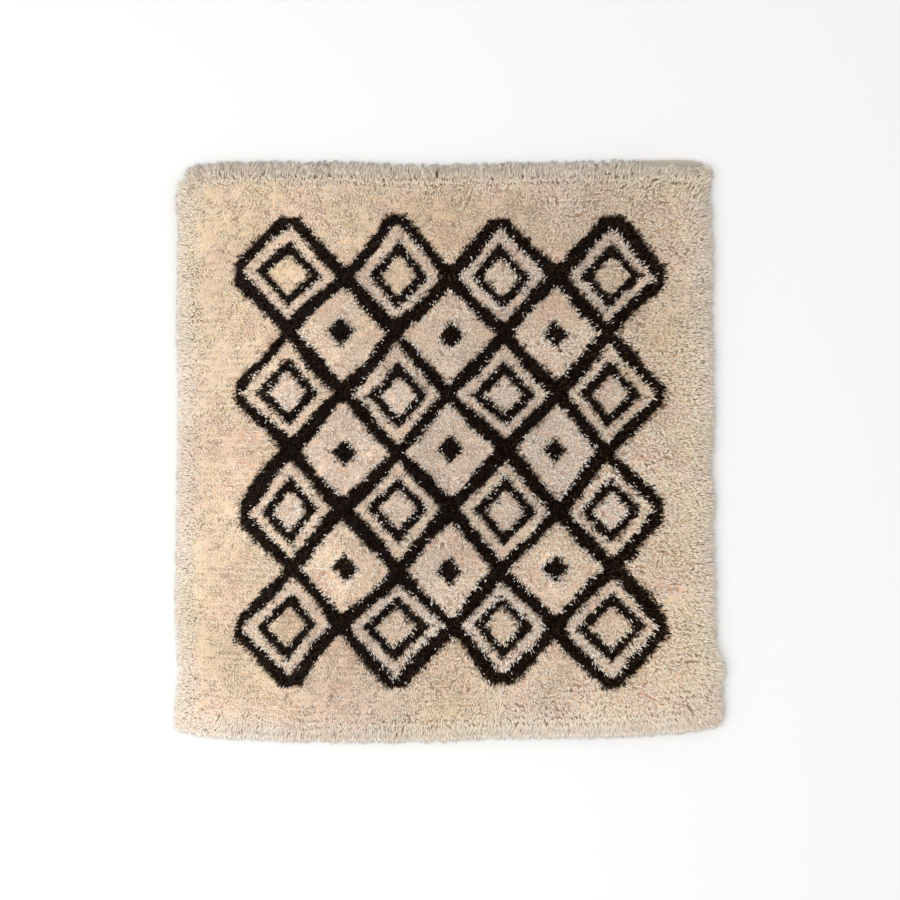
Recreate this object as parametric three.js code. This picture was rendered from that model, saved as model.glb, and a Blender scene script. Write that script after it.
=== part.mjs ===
// Rya rug: a woven wool ground with rows of long knotted pile, lying flat with its pile up.
// Millimetres, +Z up. The origin is the middle of the underside, which is level at z = 0.
// +Y runs along the warp, to the end where a strip of the bare weave shows, and +X along the weft.
import * as THREE from 'three';

// Heights of the pile over the floor
const PILE_HEIGHT = 35;
const CROWN_HEIGHT = 30;
const SHOULDER_HEIGHT = 23;
const RIM_HEIGHT = 12;
const WOVEN_END_THICKNESS = 4;

// How far inside the tips' outline each ring of the rug lies
const LOCK_LENGTH = 24;
const SHOULDER_MARGIN = 34;
const CROWN_MARGIN = 50;
const WOVEN_END_DEPTH = 17;

// Tufts: locks of pile that lean together, two knot rows long
const TUFTS_ACROSS = 40;
const TUFTS_ALONG = 42;
const TUFT_RISE = 5;
const TUFT_UNEVENNESS = 3;
const TUFT_DRIFT = 5;
const SWELL_RISE = 2;
const SWELL_PITCH = { x: 95, y: 130 };

// Locks of yarn ends at the rim, which lie on the floor and point away from the middle
const LOCK_COUNT = 280;
const LOCK_ROOT_WIDTH = 15;
const LOCK_MIDDLE_WIDTH = 12;
const LOCK_MIDDLE_HEIGHT = 9;
const LOCK_TIP_HEIGHT = 2.5;
const LOCK_MIDDLE_PLACE = 0.65;
const LOCK_SIDEWAYS = 6;
const LOCK_RAGGEDNESS = 0.2;

// The underside's inner panel, as a share of the rug's size
const PANEL_SHARE = 0.55;
const PANEL_CORNERS = 8;

// The rug is a little out of square and its edges wander. Each row gives how far out from the
// middle the tips of the pile reach (out) at one place along that side (along).
const CORNER = {
  nearLeft: { x: -716, y: -721 },
  nearRight: { x: 709, y: -712 },
  farRight: { x: 672, y: 735 },
  farLeft: { x: -688, y: 736 },
};
const NEAR_EDGE = [
  { along: -695, out: 729 },
  { along: -628, out: 740 },
  { along: -505, out: 747 },
  { along: -385, out: 752 },
  { along: -197, out: 755 },
  { along: -12, out: 751 },
  { along: 112, out: 744 },
  { along: 297, out: 743 },
  { along: 482, out: 738 },
  { along: 605, out: 730 },
];
const RIGHT_EDGE = [
  { along: -668, out: 711 },
  { along: -630, out: 705 },
  { along: -568, out: 714 },
  { along: -506, out: 692 },
  { along: -352, out: 689 },
  { along: -198, out: 682 },
  { along: -136, out: 687 },
  { along: -44, out: 678 },
  { along: 49, out: 684 },
  { along: 234, out: 682 },
  { along: 419, out: 680 },
  { along: 511, out: 682 },
  { along: 696, out: 676 },
  { along: 720, out: 684 },
];
const FAR_EDGE = [
  { along: 651, out: 746 },
  { along: 615, out: 754 },
  { along: 479, out: 753 },
  { along: 327, out: 749 },
  { along: 204, out: 747 },
  { along: 19, out: 742 },
  { along: -135, out: 742 },
  { along: -289, out: 749 },
  { along: -382, out: 747 },
  { along: -505, out: 750 },
  { along: -628, out: 743 },
];
const LEFT_EDGE = [
  { along: 714, out: 687 },
  { along: 709, out: 703 },
  { along: 542, out: 702 },
  { along: 296, out: 706 },
  { along: 203, out: 702 },
  { along: -13, out: 703 },
  { along: -260, out: 708 },
  { along: -414, out: 709 },
  { along: -599, out: 704 },
  { along: -660, out: 711 },
];

// The stretch of the far edge where the pile stops short and the bare woven end shows
const WOVEN_END = { from: 482, to: 650 };

// Half the rug's size, which the rings are drawn in by
const HALF = { x: 700, y: 745 };

const YARN = { colour: 0xd8bf9f, roughness: 0.95, metalness: 0 };

// A repeatable number from 0 to 1 for a place in a row and column
function chance(column, row, salt) {
  const mixed = Math.sin(column * 127.1 + row * 311.7 + salt * 74.7) * 43758.5453;
  return mixed - Math.floor(mixed);
}

function wander(column, row, salt) {
  return chance(column, row, salt) * 2 - 1;
}

// One side of the outline, from corner to corner through the rows of its table
function side(start, rows, end) {
  const points = [start, ...rows, end].map(({ x, y }) => new THREE.Vector3(x, y, 0));
  return new THREE.CatmullRomCurve3(points, false, 'centripetal');
}

const sides = [
  side(CORNER.nearLeft, NEAR_EDGE.map(({ along, out }) => ({ x: along, y: -out })), CORNER.nearRight),
  side(CORNER.nearRight, RIGHT_EDGE.map(({ along, out }) => ({ x: out, y: along })), CORNER.farRight),
  side(CORNER.farRight, FAR_EDGE.map(({ along, out }) => ({ x: along, y: out })), CORNER.farLeft),
  side(CORNER.farLeft, LEFT_EDGE.map(({ along, out }) => ({ x: -out, y: along })), CORNER.nearLeft),
];
const outline = new THREE.CurvePath();
sides.forEach((curve) => outline.add(curve));
const sideEnds = outline.getCurveLengths();
const perimeter = outline.getLength();

// A point of the outline drawn in toward the middle by a margin
function drawnIn(point, margin) {
  return { x: point.x * (1 - margin / HALF.x), y: point.y * (1 - margin / HALF.y) };
}

function isWovenEnd(point) {
  return point.y > 0 && point.x > WOVEN_END.from && point.x < WOVEN_END.to;
}

// The closed surface of the rug, gathered as shared vertices and triangles
const vertices = [];
const triangles = [];

function vertex(point, z) {
  vertices.push(point.x, point.y, z);
  return vertices.length / 3 - 1;
}

function triangle(a, b, c) {
  triangles.push(a, b, c);
}

function quad(a, b, c, d) {
  triangle(a, b, c);
  triangle(a, c, d);
}

// Joins two closed rings of different counts, each a list of { turn, index } with turn from 0 to 1
// round the rug. face adds one triangle, given its corners in order for a ring seen from above.
function joinRings(outer, inner, face) {
  let i = 0;
  let j = 0;
  while (i < outer.length || j < inner.length) {
    const nextOuter = i < outer.length ? (outer[i + 1]?.turn ?? 1) : Infinity;
    const nextInner = j < inner.length ? (inner[j + 1]?.turn ?? 1) : Infinity;
    const here = outer[i % outer.length].index;
    const there = inner[j % inner.length].index;
    if (nextOuter <= nextInner) {
      i += 1;
      face(here, outer[i % outer.length].index, there);
    } else {
      j += 1;
      face(here, inner[j % inner.length].index, there);
    }
  }
}

function swell(point) {
  return SWELL_RISE * Math.sin(point.x / SWELL_PITCH.x) * Math.cos(point.y / SWELL_PITCH.y);
}

// The rim: a lock, then a gap, all the way round. Each lock grows from its own stretch of the
// slab's low wall, so the locks stand apart and are fused to the rug at their roots only.
const rimTop = [];
const rimUnder = [];

function rimPoint(turn, number) {
  const tips = outline.getPoint(turn);
  const bare = isWovenEnd(tips);
  const place = drawnIn(tips, bare ? 0 : LOCK_LENGTH);
  const height = bare ? WOVEN_END_THICKNESS : RIM_HEIGHT + wander(number, 0, 1);
  return { tips, bare, place, over: vertex(place, height), under: vertex(place, 0), turn };
}

function lock(start, end, number) {
  const reach = 1 + LOCK_RAGGEDNESS * wander(number, 0, 2);
  const width = Math.hypot(end.place.x - start.place.x, end.place.y - start.place.y);
  const along = { x: (end.place.x - start.place.x) / width, y: (end.place.y - start.place.y) / width };
  const root = { x: (start.place.x + end.place.x) / 2, y: (start.place.y + end.place.y) / 2 };
  const aim = { x: (start.tips.x + end.tips.x) / 2, y: (start.tips.y + end.tips.y) / 2 };
  const lean = LOCK_SIDEWAYS * wander(number, 0, 3);
  const at = (share, sideways) => ({
    x: root.x + (aim.x - root.x) * share * reach + along.x * sideways,
    y: root.y + (aim.y - root.y) * share * reach + along.y * sideways,
  });
  const middleStart = at(LOCK_MIDDLE_PLACE, lean * LOCK_MIDDLE_PLACE - LOCK_MIDDLE_WIDTH / 2);
  const middleEnd = at(LOCK_MIDDLE_PLACE, lean * LOCK_MIDDLE_PLACE + LOCK_MIDDLE_WIDTH / 2);
  const tip = at(1, lean);
  const under = [vertex(middleStart, 0), vertex(middleEnd, 0), vertex(tip, 0)];
  const over = [
    vertex(middleStart, LOCK_MIDDLE_HEIGHT),
    vertex(middleEnd, LOCK_MIDDLE_HEIGHT),
    vertex(tip, LOCK_TIP_HEIGHT),
  ];
  quad(start.under, end.under, under[1], under[0]);
  quad(start.over, over[0], over[1], end.over);
  quad(start.under, under[0], over[0], start.over);
  quad(end.under, end.over, over[1], under[1]);
  triangle(under[0], under[1], under[2]);
  triangle(over[0], over[2], over[1]);
  quad(under[0], under[2], over[2], over[0]);
  quad(under[1], over[1], over[2], under[2]);
}

function rim() {
  const rootShare = (LOCK_ROOT_WIDTH * LOCK_COUNT) / perimeter;
  const points = [];
  for (let number = 0; number < LOCK_COUNT; number += 1) {
    points.push(rimPoint(number / LOCK_COUNT, number));
    points.push(rimPoint((number + rootShare) / LOCK_COUNT, number));
  }
  points.forEach((point, place) => {
    const next = points[(place + 1) % points.length];
    const isRoot = place % 2 === 0;
    if (isRoot && !point.bare && !next.bare) {
      lock(point, next, place);
    } else {
      quad(point.under, next.under, next.over, point.over);
    }
    rimTop.push({ turn: point.turn, index: point.over });
    rimUnder.push({ turn: point.turn, index: point.under });
  });
}

// The rounded shoulder between the rim and the field of pile, with one vertex for each tuft
function ringOfTufts(margin, bareMargin, height, bareHeight, salt) {
  const ring = [];
  const counts = [TUFTS_ACROSS, TUFTS_ALONG, TUFTS_ACROSS, TUFTS_ALONG];
  sides.forEach((curve, number) => {
    const before = number === 0 ? 0 : sideEnds[number - 1];
    for (let step = 0; step < counts[number]; step += 1) {
      const share = step / counts[number];
      const tips = curve.getPointAt(share);
      const bare = isWovenEnd(tips);
      const lift = bare ? bareHeight : height + TUFT_UNEVENNESS * wander(number, step, salt);
      const place = drawnIn(tips, bare ? bareMargin : margin);
      const turn = (before + share * (sideEnds[number] - before)) / perimeter;
      ring.push({ turn, place, index: vertex(place, lift) });
    }
  });
  return ring;
}

// The field: the tufts' tips and the hollows between them, spread evenly inside the crown ring
function field(crown) {
  const across = TUFTS_ACROSS;
  const along = TUFTS_ALONG;
  const near = (i) => crown[i];
  const right = (j) => crown[across + j];
  const far = (i) => crown[(2 * across + along - i) % crown.length];
  const left = (j) => crown[(2 * (across + along) - j) % crown.length];
  const rows = [];
  for (let j = 0; j <= along; j += 1) {
    const row = [];
    for (let i = 0; i <= across; i += 1) {
      if (j === 0) row.push(near(i).index);
      else if (j === along) row.push(far(i).index);
      else if (i === 0) row.push(left(j).index);
      else if (i === across) row.push(right(j).index);
      else row.push(tuft(i, j, { near: near(i), far: far(i), left: left(j), right: right(j) }, crown));
    }
    rows.push(row);
  }
  for (let j = 0; j < along; j += 1) {
    for (let i = 0; i < across; i += 1) {
      const corners = [rows[j][i], rows[j][i + 1], rows[j + 1][i + 1], rows[j + 1][i]];
      const isRaised = (i + j) % 2 === 0;
      if (isRaised) quad(corners[1], corners[2], corners[3], corners[0]);
      else quad(...corners);
    }
  }
}

// One vertex of the field, placed between the four sides of the crown ring
function tuft(i, j, edge, crown) {
  const u = i / TUFTS_ACROSS;
  const v = j / TUFTS_ALONG;
  const corners = [0, TUFTS_ACROSS, TUFTS_ACROSS + TUFTS_ALONG, 2 * TUFTS_ACROSS + TUFTS_ALONG];
  const [nearLeft, nearRight, farRight, farLeft] = corners.map((k) => crown[k].place);
  const between = (axis) =>
    (1 - v) * edge.near.place[axis] + v * edge.far.place[axis]
    + (1 - u) * edge.left.place[axis] + u * edge.right.place[axis]
    - (1 - u) * (1 - v) * nearLeft[axis] - u * (1 - v) * nearRight[axis]
    - u * v * farRight[axis] - (1 - u) * v * farLeft[axis];
  const place = {
    x: between('x') + TUFT_DRIFT * wander(i, j, 4),
    y: between('y') + TUFT_DRIFT * wander(i, j, 5),
  };
  const rise = (i + j) % 2 === 0 ? TUFT_RISE : -TUFT_RISE;
  return vertex(place, PILE_HEIGHT + rise + TUFT_UNEVENNESS * wander(i, j, 6) + swell(place));
}

// The underside: level from the rim to a plain panel in the middle
function underside() {
  const panel = [];
  for (let corner = 0; corner < PANEL_CORNERS; corner += 1) {
    const turn = corner / PANEL_CORNERS;
    const tips = outline.getPoint(turn);
    const place = { x: tips.x * PANEL_SHARE, y: tips.y * PANEL_SHARE };
    panel.push({ turn, place, index: vertex(place, 0) });
  }
  joinRings(rimUnder, panel, (a, b, c) => triangle(a, c, b));
  const shape = panel.map(({ place }) => new THREE.Vector2(place.x, place.y));
  THREE.ShapeUtils.triangulateShape(shape, []).forEach(([a, b, c]) => {
    triangle(panel[a].index, panel[c].index, panel[b].index);
  });
}

function ryaRug() {
  rim();
  const shoulder = ringOfTufts(SHOULDER_MARGIN, WOVEN_END_DEPTH, SHOULDER_HEIGHT, WOVEN_END_THICKNESS, 7);
  const crown = ringOfTufts(CROWN_MARGIN, CROWN_MARGIN, CROWN_HEIGHT, CROWN_HEIGHT, 8);
  joinRings(rimTop, shoulder, triangle);
  joinRings(shoulder, crown, triangle);
  field(crown);
  underside();
  const geometry = new THREE.BufferGeometry();
  geometry.setAttribute('position', new THREE.Float32BufferAttribute(vertices, 3));
  geometry.setIndex(triangles);
  geometry.computeBoundingBox();
  const middle = geometry.boundingBox.getCenter(new THREE.Vector3());
  geometry.translate(-middle.x, -middle.y, 0);
  geometry.computeVertexNormals();
  const material = new THREE.MeshStandardMaterial({
    color: YARN.colour,
    roughness: YARN.roughness,
    metalness: YARN.metalness,
  });
  const rug = new THREE.Mesh(geometry, material);
  rug.name = 'rya_rug';
  return rug;
}

const part = new THREE.Group();
part.add(ryaRug());
export default part;
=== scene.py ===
import math
import bpy
import numpy as np
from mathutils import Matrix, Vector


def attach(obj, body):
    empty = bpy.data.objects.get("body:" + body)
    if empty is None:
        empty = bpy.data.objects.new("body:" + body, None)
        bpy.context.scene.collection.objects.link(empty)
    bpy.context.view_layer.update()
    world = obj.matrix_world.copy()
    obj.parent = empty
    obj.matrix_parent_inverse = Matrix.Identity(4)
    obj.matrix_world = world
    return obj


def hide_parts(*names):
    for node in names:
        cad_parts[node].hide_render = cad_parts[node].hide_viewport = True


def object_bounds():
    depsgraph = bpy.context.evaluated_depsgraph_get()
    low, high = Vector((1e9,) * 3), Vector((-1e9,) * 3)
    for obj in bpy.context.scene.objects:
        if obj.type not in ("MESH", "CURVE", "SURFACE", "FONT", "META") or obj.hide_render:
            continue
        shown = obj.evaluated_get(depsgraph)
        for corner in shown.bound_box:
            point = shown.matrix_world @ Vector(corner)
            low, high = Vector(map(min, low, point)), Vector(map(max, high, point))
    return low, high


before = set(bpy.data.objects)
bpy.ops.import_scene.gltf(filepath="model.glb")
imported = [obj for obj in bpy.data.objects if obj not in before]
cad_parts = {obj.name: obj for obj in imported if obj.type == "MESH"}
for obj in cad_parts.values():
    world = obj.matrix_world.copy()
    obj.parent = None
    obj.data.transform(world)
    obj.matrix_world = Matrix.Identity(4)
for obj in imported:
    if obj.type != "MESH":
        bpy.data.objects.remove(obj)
solid_low, solid_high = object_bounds()

# The woven ground. A stout cloth of wool weft beaten down over a linen warp, about 3 mm thick, that the
# pile is knotted into as it is woven. It lies flat on the floor. Its edge is hidden under the pile, but
# for a strip at the far end where the pile stops short.
GROUND_THICKNESS = 0.0032
GROUND_CLEARANCE = 0.0003
GROUND_INSIDE_WALL = 0.003
GROUND_RINGS = (1.0, 0.996, 0.97, 0.8, 0.6, 0.4, 0.2)
WALL_HEIGHTS = (0.0105, 0.0135)
BARE_HEIGHTS = (0.0035, 0.0045)
GROUND_INSIDE_FOLD = 0.006
WARP_PITCH = 0.0042
WEFT_PITCH = 0.0021
LINEN_AND_WOOL = ((0.356, 0.31, 0.25), (0.516, 0.46, 0.385))
FOLD_COLOUR = (0.68, 0.65, 0.65)
WEAVE_ROUGHNESS = 0.9
WEAVE_RELIEF = (0.0006, 0.9)
WEFT_WOBBLE = 1.2
WEFT_DETAIL = 2
WARP_WOBBLE = 0.6
WARP_SHOWS = 0.35
SLUBS_SCALE = 260
SLUBS_DETAIL = 6
SLUBS_SHOW = 0.7
LINEN_SHOWS_BELOW = 0.35
# The scale of a wave texture whose bands are a pitch of one metre wide
BANDS_SCALE = math.pi / 20
WOOL_SHINE = 0.2
WOOL_FUZZ = 0.25
FUZZ_ROUGHNESS = 0.6

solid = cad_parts["rya_rug"]
solid_points = np.empty(3 * len(solid.data.vertices))
solid.data.vertices.foreach_get("co", solid_points)
solid_points = solid_points.reshape(-1, 3)


def solid_points_between(heights):
    height = solid_points[:, 2]
    return np.unique(solid_points[(height > heights[0]) & (height < heights[1]), :2].round(5), axis=0)


# The solid's low wall is the line that the outermost locks grow from. The bare weave is the 4 mm step.
bare_points = solid_points_between(BARE_HEIGHTS)
bare_near, bare_far = bare_points[:, 1].min(), bare_points[:, 1].max()
at_fold = bare_points[:, 1] > (bare_near + bare_far) / 2
bare_fold, bare_hem = bare_points[at_fold], bare_points[~at_fold]
bare_from, bare_to = bare_fold[:, 0].min(), bare_fold[:, 0].max()
half_across, half_along = solid_high.x, solid_high.y


def in_order(points):
    return points[np.argsort(np.arctan2(points[:, 1], points[:, 0]))]


pile_wall = in_order(solid_points_between(WALL_HEIGHTS))


def drawn_in(points, margin):
    return points * (1 - margin / np.array([half_across, half_along]))


def mesh_piece(name, points, faces):
    """A piece from its points and its faces, a list of arrays with 3 or 4 corners a row."""
    mesh = bpy.data.meshes.new(name)
    mesh.vertices.add(len(points))
    mesh.vertices.foreach_set("co", np.ascontiguousarray(points, np.float32).ravel())
    corners = np.concatenate([f.ravel() for f in faces]).astype(np.int32)
    counts = np.concatenate([np.full(len(f), f.shape[1]) for f in faces])
    mesh.loops.add(len(corners))
    mesh.loops.foreach_set("vertex_index", corners)
    mesh.polygons.add(len(counts))
    starts = np.concatenate([[0], np.cumsum(counts)[:-1]]).astype(np.int32)
    mesh.polygons.foreach_set("loop_start", starts)
    mesh.polygons.foreach_set("use_smooth", np.ones(len(counts), bool))
    mesh.update(calc_edges=True)
    piece = bpy.data.objects.new(name, mesh)
    bpy.context.scene.collection.objects.link(piece)
    return piece


def new_material(name, roughness):
    material = bpy.data.materials.new(name)
    material.use_nodes = True
    shader = material.node_tree.nodes["Principled BSDF"]
    shader.inputs["Roughness"].default_value = roughness
    shader.inputs["Specular IOR Level"].default_value = WOOL_SHINE
    shader.inputs["Sheen Weight"].default_value = WOOL_FUZZ
    shader.inputs["Sheen Roughness"].default_value = FUZZ_ROUGHNESS
    return material, shader


def node(material, kind, **settings):
    made = material.node_tree.nodes.new(kind)
    for name, value in settings.items():
        setattr(made, name, value)
    return made


def link(material, start, end):
    material.node_tree.links.new(start, end)


def painted(material, name):
    """The value that is painted on the piece's points under this name."""
    return node(material, "ShaderNodeAttribute", attribute_name=name).outputs["Fac"]


def blended(material, share, start, colour):
    """The colour start, turned into a plain colour by share."""
    mix = node(material, "ShaderNodeMix", data_type="RGBA")
    link(material, share, mix.inputs["Factor"])
    link(material, start, mix.inputs["A"])
    mix.inputs["B"].default_value = (*colour, 1)
    return mix.outputs["Result"]


def add_relief(material, shader, height, relief):
    """Fine relief from a texture's height, as (depth, strength)."""
    bump = node(material, "ShaderNodeBump")
    bump.inputs["Distance"].default_value, bump.inputs["Strength"].default_value = relief
    link(material, height, bump.inputs["Height"])
    link(material, bump.outputs["Normal"], shader.inputs["Normal"])


def colour_steps(material, factor, steps):
    """A colour ramp through steps of (place, colour)."""
    ramp = node(material, "ShaderNodeValToRGB")
    stops = ramp.color_ramp.elements
    while len(stops) < len(steps):
        stops.new(0.5)
    for stop, (place, colour) in zip(stops, steps):
        stop.position = place
        stop.color = (*colour, 1)
    link(material, factor, ramp.inputs["Fac"])
    return ramp.outputs["Color"]


def woven_cloth(name):
    """Weft ribs of wool over a linen warp, with slubs and a little fuzz, paler along the fold."""
    material, shader = new_material(name, roughness=WEAVE_ROUGHNESS)
    place = node(material, "ShaderNodeTexCoord")
    weft = node(material, "ShaderNodeTexWave", wave_type="BANDS", bands_direction="Y")
    weft.inputs["Scale"].default_value = BANDS_SCALE / WEFT_PITCH
    weft.inputs["Distortion"].default_value = WEFT_WOBBLE
    weft.inputs["Detail"].default_value = WEFT_DETAIL
    warp = node(material, "ShaderNodeTexWave", wave_type="BANDS", bands_direction="X")
    warp.inputs["Scale"].default_value = BANDS_SCALE / WARP_PITCH
    warp.inputs["Distortion"].default_value = WARP_WOBBLE
    slubs = node(material, "ShaderNodeTexNoise")
    slubs.inputs["Scale"].default_value = SLUBS_SCALE
    slubs.inputs["Detail"].default_value = SLUBS_DETAIL
    for texture in (weft, warp, slubs):
        link(material, place.outputs["Object"], texture.inputs["Vector"])
    crossing = node(material, "ShaderNodeMath", operation="MULTIPLY_ADD")
    link(material, warp.outputs["Fac"], crossing.inputs[0])
    crossing.inputs[1].default_value = WARP_SHOWS
    link(material, weft.outputs["Fac"], crossing.inputs[2])
    mixed = node(material, "ShaderNodeMath", operation="MULTIPLY_ADD")
    link(material, slubs.outputs["Fac"], mixed.inputs[0])
    mixed.inputs[1].default_value = SLUBS_SHOW
    link(material, crossing.outputs["Value"], mixed.inputs[2])
    low, high = LINEN_AND_WOOL
    steps = [(LINEN_SHOWS_BELOW, low), (1.0, high)]
    colour = colour_steps(material, mixed.outputs["Value"], steps)
    paler = blended(material, painted(material, "fold"), colour, FOLD_COLOUR)
    link(material, paler, shader.inputs["Base Color"])
    add_relief(material, shader, mixed.outputs["Value"], WEAVE_RELIEF)
    return material


def ground_mesh():
    """The ground's two faces as rings that shrink to the middle, closed round the edge."""
    edge = in_order(np.vstack([
        drawn_in(pile_wall, GROUND_INSIDE_WALL), drawn_in(bare_fold, GROUND_INSIDE_FOLD)
    ]))
    count, rings = len(edge), len(GROUND_RINGS)
    points, faces = [], []
    for side, height in enumerate((GROUND_THICKNESS, GROUND_CLEARANCE)):
        for share in GROUND_RINGS:
            points.append(np.column_stack([edge * share, np.full(count, height)]))
        points.append([[0, 0, height]])
        base = side * (count * rings + 1)
        here = np.arange(count)
        there = np.roll(here, -1)
        for ring in range(rings - 1):
            outer, inner = base + ring * count, base + (ring + 1) * count
            quad = np.column_stack([outer + here, outer + there, inner + there, inner + here])
            faces.append(quad if side == 0 else quad[:, ::-1])
        last = base + (rings - 1) * count
        fan = np.column_stack([last + here, last + there, np.full(count, base + rings * count)])
        faces.append(fan if side == 0 else fan[:, ::-1])
    under = count * rings + 1
    faces.append(np.column_stack([under + here, under + there, there, here]))
    return np.vstack(points), faces


ground = mesh_piece("woven_ground", *ground_mesh())
ground.data.materials.append(woven_cloth("ground_weave"))
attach(ground, "root")
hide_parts("rya_rug")

# The bare woven end. The last 17 mm of the ground at the far end, turned under and beaten close, with no
# pile on it: each weft pick passes over and under the warp ends and shows as a small round rib. The
# fold itself is paler and greyer.
ACROSS_STEP = 0.0014
ALONG_STEP = 0.0007
END_THICKNESS = 0.0042
END_UNDER_PILE = 0.012
RIB_RISE = 0.0008
END_FALL = 0.006
# Over this reach from the fold the end turns paler and greyer
PALER_REACH = (0.005, 0.007)
END_PAST_STEP = (0.002, 0.005)
RIB_SINKS = 0.3
FOLD_LIFT = 0.0006


def paint(piece, name, values):
    layer = piece.data.attributes.new(name, "FLOAT", "POINT")
    layer.data.foreach_set("value", np.ascontiguousarray(values, np.float32))


def woven_end_mesh():
    """A closed strip whose upper face has the ribs of its weft, rounded down at the fold. With it, how
    much paler each of its points is."""
    start, stop = bare_from + END_PAST_STEP[0], bare_to + END_PAST_STEP[1]
    across = np.arange(start, stop, ACROSS_STEP)
    along = np.arange(bare_near - END_UNDER_PILE, bare_far + ALONG_STEP, ALONG_STEP)
    u, v = np.meshgrid(across, along, indexing="ij")
    fold = np.interp(across, *np.unique(bare_fold.round(3), axis=0)[:, :2].T)[:, None]
    v = v + (fold - bare_far) * (v - along[0]) / (along[-1] - along[0])
    pick = v / WEFT_PITCH
    over = np.cos(math.pi * (u / WARP_PITCH * 2 + np.floor(pick)))
    rib = np.abs(np.sin(math.pi * pick)) * (1 - RIB_SINKS + RIB_SINKS * over)
    from_fold = np.clip((fold - v) / END_FALL, 0, 1)
    roll = np.sqrt(1 - (1 - from_fold) ** 2)
    top = GROUND_CLEARANCE + FOLD_LIFT + (END_THICKNESS - 2 * FOLD_LIFT + RIB_RISE * rib) * roll
    rows, columns = u.shape
    upper = np.stack([u, v, top], -1).reshape(-1, 3)
    at = np.arange(rows * columns).reshape(rows, columns)
    quads = np.stack([at[:-1, :-1], at[1:, :-1], at[1:, 1:], at[:-1, 1:]], -1).reshape(-1, 4)
    rim = np.concatenate([at[:-1, 0], at[-1, :-1], at[:0:-1, -1], at[0, :0:-1]])
    foot = len(upper) + np.arange(len(rim))
    side = np.column_stack([foot, np.roll(foot, -1), np.roll(rim, -1), rim])
    under = np.column_stack([np.roll(foot, -1), foot, np.full(len(rim), len(upper) + len(rim))])
    lower = np.vstack([upper[rim], upper.mean(axis=0)]) * (1, 1, 0) + (0, 0, GROUND_CLEARANCE)
    fully, hardly = PALER_REACH
    paler = ((hardly - (fold - v)) / (hardly - fully)).clip(0, 1).ravel()
    paler = np.concatenate([paler, paler[rim], [0]])
    return np.vstack([upper, lower]), [quads, side, under], paler


end_points, end_faces, end_paler = woven_end_mesh()
woven_end = mesh_piece("woven_end", end_points, end_faces)
paint(woven_end, "fold", end_paler)
woven_end.data.materials.append(woven_cloth("end_weave"))
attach(woven_end, "root")

# The knot rows. The pile is tied in rows 17 mm apart, each knot round two warp ends, with four or five
# shots of weft between rows. The rows follow the rug's own wandering edges.
ROW_PITCH = 0.017
KNOT_PITCH = 0.0094
KNOT_DRIFT = 0.0018
FIRST_KNOT_INSIDE = 0.007
BARE_LAY_REACH = 0.07
BARE_LAY_BESIDE = 0.02
NEAREST_KNOT_SHARE = 0.6
DRIFT_GRID = 64
SETTLING_ROUNDS = 6

chance = np.random.default_rng(1962)


def drift(x, y, pitch, seed):
    """A smooth random field from -1 to 1 whose swells are about pitch apart."""
    grid = np.random.default_rng(seed).uniform(-1, 1, (DRIFT_GRID, DRIFT_GRID))
    u, v = x / pitch + DRIFT_GRID / 2, y / pitch + DRIFT_GRID / 2
    i, j = (np.floor(place).astype(int) % (DRIFT_GRID - 1) for place in (u, v))
    s, t = u - np.floor(u), v - np.floor(v)
    s, t = s * s * (3 - 2 * s), t * t * (3 - 2 * t)
    near = grid[i, j] * (1 - s) + grid[i + 1, j] * s
    far = grid[i, j + 1] * (1 - s) + grid[i + 1, j + 1] * s
    return near * (1 - t) + far * t


def wall_sides():
    """The wall's near, right, far and left sides, each from corner to corner."""
    across, along = pile_wall[:, 0] / half_across, pile_wall[:, 1] / half_along
    near_left = np.argmax(-across - along)
    ring = np.roll(pile_wall, -near_left, axis=0)
    across, along = np.roll(across, -near_left), np.roll(along, -near_left)
    ends = [0, np.argmax(across - along), np.argmax(across + along), np.argmax(along - across), len(ring)]
    ring = np.vstack([ring, ring[:1]])
    return [ring[start:end + 1] for start, end in zip(ends, ends[1:])]


near_side, right_side, far_side, left_side = wall_sides()


def between_sides(u, v):
    """Places a share u of the way from the left side to the right, and v from the near to the far."""
    def side_at(side, axis, place):
        order = np.argsort(side[:, axis])
        return np.interp(place, side[order, axis], side[order, 1 - axis])

    x, y = (2 * u - 1) * half_across, (2 * v - 1) * half_along
    for _ in range(SETTLING_ROUNDS):
        left, right = side_at(left_side, 1, y), side_at(right_side, 1, y)
        near, far = side_at(near_side, 0, x), side_at(far_side, 0, x)
        x, y = left + (right - left) * u, near + (far - near) * v
    return x, y


def inside_wall(x, y):
    """How far inside the wall each place is."""
    start, end = pile_wall, np.roll(pile_wall, -1, axis=0)
    nearest = np.full(np.shape(x), np.inf)
    for (sx, sy), (rx, ry) in zip(start, end - start):
        share = np.clip(((x - sx) * rx + (y - sy) * ry) / (rx * rx + ry * ry), 0, 1)
        nearest = np.minimum(nearest, np.hypot(x - sx - share * rx, y - sy - share * ry))
    return nearest


def knot_places():
    rows = round(2 * half_along / ROW_PITCH)
    columns = round(2 * half_across / KNOT_PITCH)
    u, v = np.meshgrid((np.arange(columns) + 0.5) / columns, (np.arange(rows) + 0.5) / rows)
    x, y = between_sides(u.ravel(), v.ravel())
    x = x + chance.uniform(-1, 1, len(x)) * KNOT_DRIFT
    y = y + chance.uniform(-1, 1, len(x)) * KNOT_DRIFT
    inside = inside_wall(x, y)
    kept = inside > FIRST_KNOT_INSIDE * NEAREST_KNOT_SHARE
    return x[kept], y[kept], (inside[kept] - FIRST_KNOT_INSIDE).clip(0)


knot_x, knot_y, knot_inside = knot_places()
knot_at_bare = np.clip(1 - (bare_near - knot_y) / BARE_LAY_REACH, 0, 1)
knot_at_bare *= np.clip(np.minimum(knot_x - bare_from, bare_to - knot_x) / BARE_LAY_BESIDE + 0.5, 0, 1)

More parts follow.
